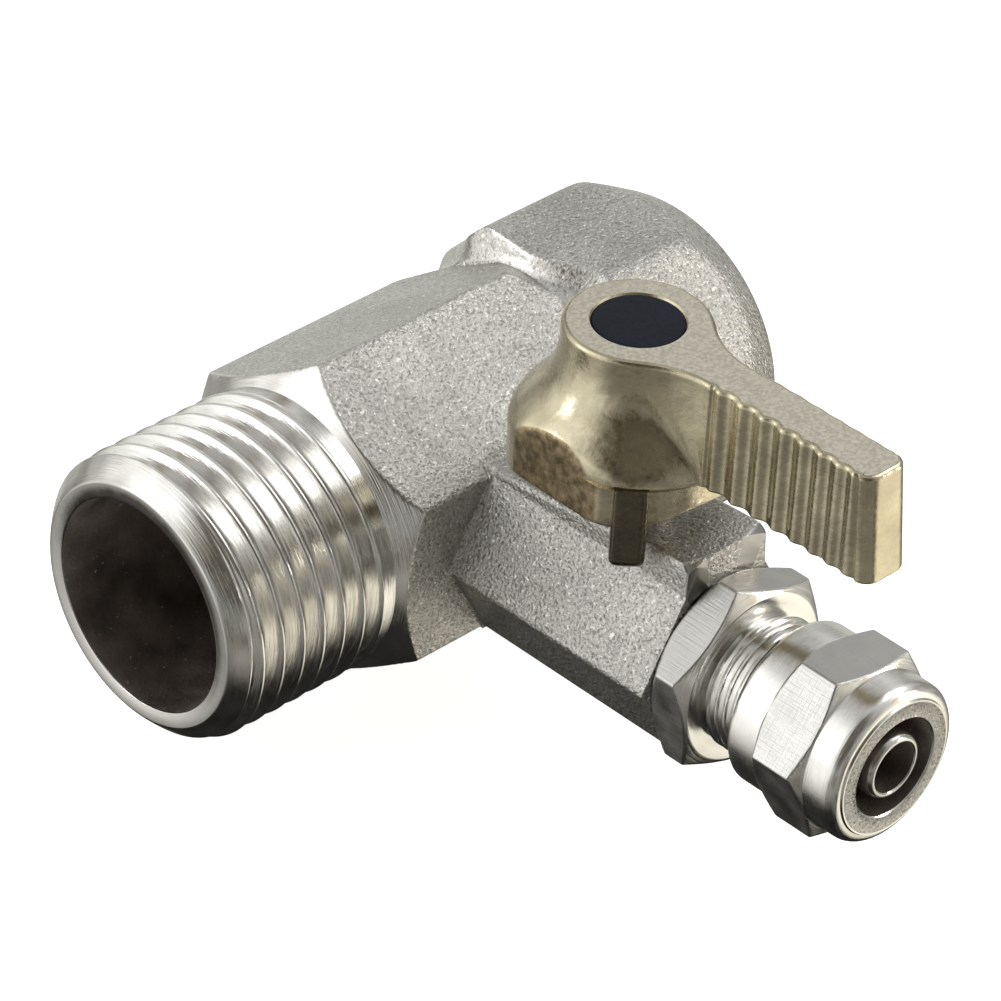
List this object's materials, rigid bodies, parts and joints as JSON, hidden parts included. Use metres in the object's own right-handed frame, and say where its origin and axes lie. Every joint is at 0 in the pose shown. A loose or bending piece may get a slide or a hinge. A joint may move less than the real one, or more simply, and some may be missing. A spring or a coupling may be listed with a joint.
{
  "type": "tee ball valve adapter",
  "caption": "Threaded tee adapter whose side branch is a small quarter-turn ball valve with a lever and a tube nut over a barb.",
  "frame": {"origin": "tee centre, where the run's bore axis and the branch's axis cross", "axes": "+X along the run towards the female end, the branch and its tube nut leave along -Y, +Z is the stem's axis, up through the lever"},
  "size_m": [0.0504, 0.0575, 0.0344],
  "materials": {
    "cast_nickel": "satin nickel plate over forged brass: fine cast grain, bright machined threads",
    "turned_nickel": "bright nickel plate over turned brass with fine turning lines and brushed hexagon flats",
    "lever_nickel": "warm glossy nickel plate over die-cast zinc, matt top face",
    "bare_brass": "bare turned brass",
    "ball_chrome": "polished chrome plate over brass",
    "ptfe": "white PTFE",
    "seal_rubber": "black nitrile rubber",
    "cap_plastic": "very dark navy moulded plastic, low sheen",
    "screw_steel": "zinc-plated steel"
  },
  "bodies": {
    "body": {"tee_body": "cast_nickel", "seat_inner": "ptfe", "seat_outer": "ptfe", "stem_thrust_washer": "ptfe", "outlet_connector": "turned_nickel", "port_washer": "seal_rubber"},
    "lever": {"lever_handle": "lever_nickel", "stem": "bare_brass", "stem_o_ring_lower": "seal_rubber", "stem_o_ring_upper": "seal_rubber", "handle_washer": "screw_steel", "handle_screw": "screw_steel", "handle_cap": "cap_plastic"},
    "ball": {"ball": "ball_chrome"},
    "tube_nut": {"tube_nut": "turned_nickel"}
  },
  "joints": [
    {"name": "lever_turn", "type": "hinge", "parent": "body", "child": "lever", "pos_m": [0, -0.01962, 0], "axis": [0, 0, 1], "range_deg": [-90, 0]},
    {"name": "ball_turn", "type": "hinge", "parent": "body", "child": "ball", "pos_m": [0, -0.01962, 0], "axis": [0, 0, 1], "range_deg": [-90, 0]},
    {"name": "nut_unscrew", "type": "slide", "parent": "body", "child": "tube_nut", "axis": [0, -1, 0], "range_m": [-0.0018, 0.0045]}
  ],
  "couplings": [
    {"joint": "ball_turn", "follows": "lever_turn", "ratio": 1}
  ]
}
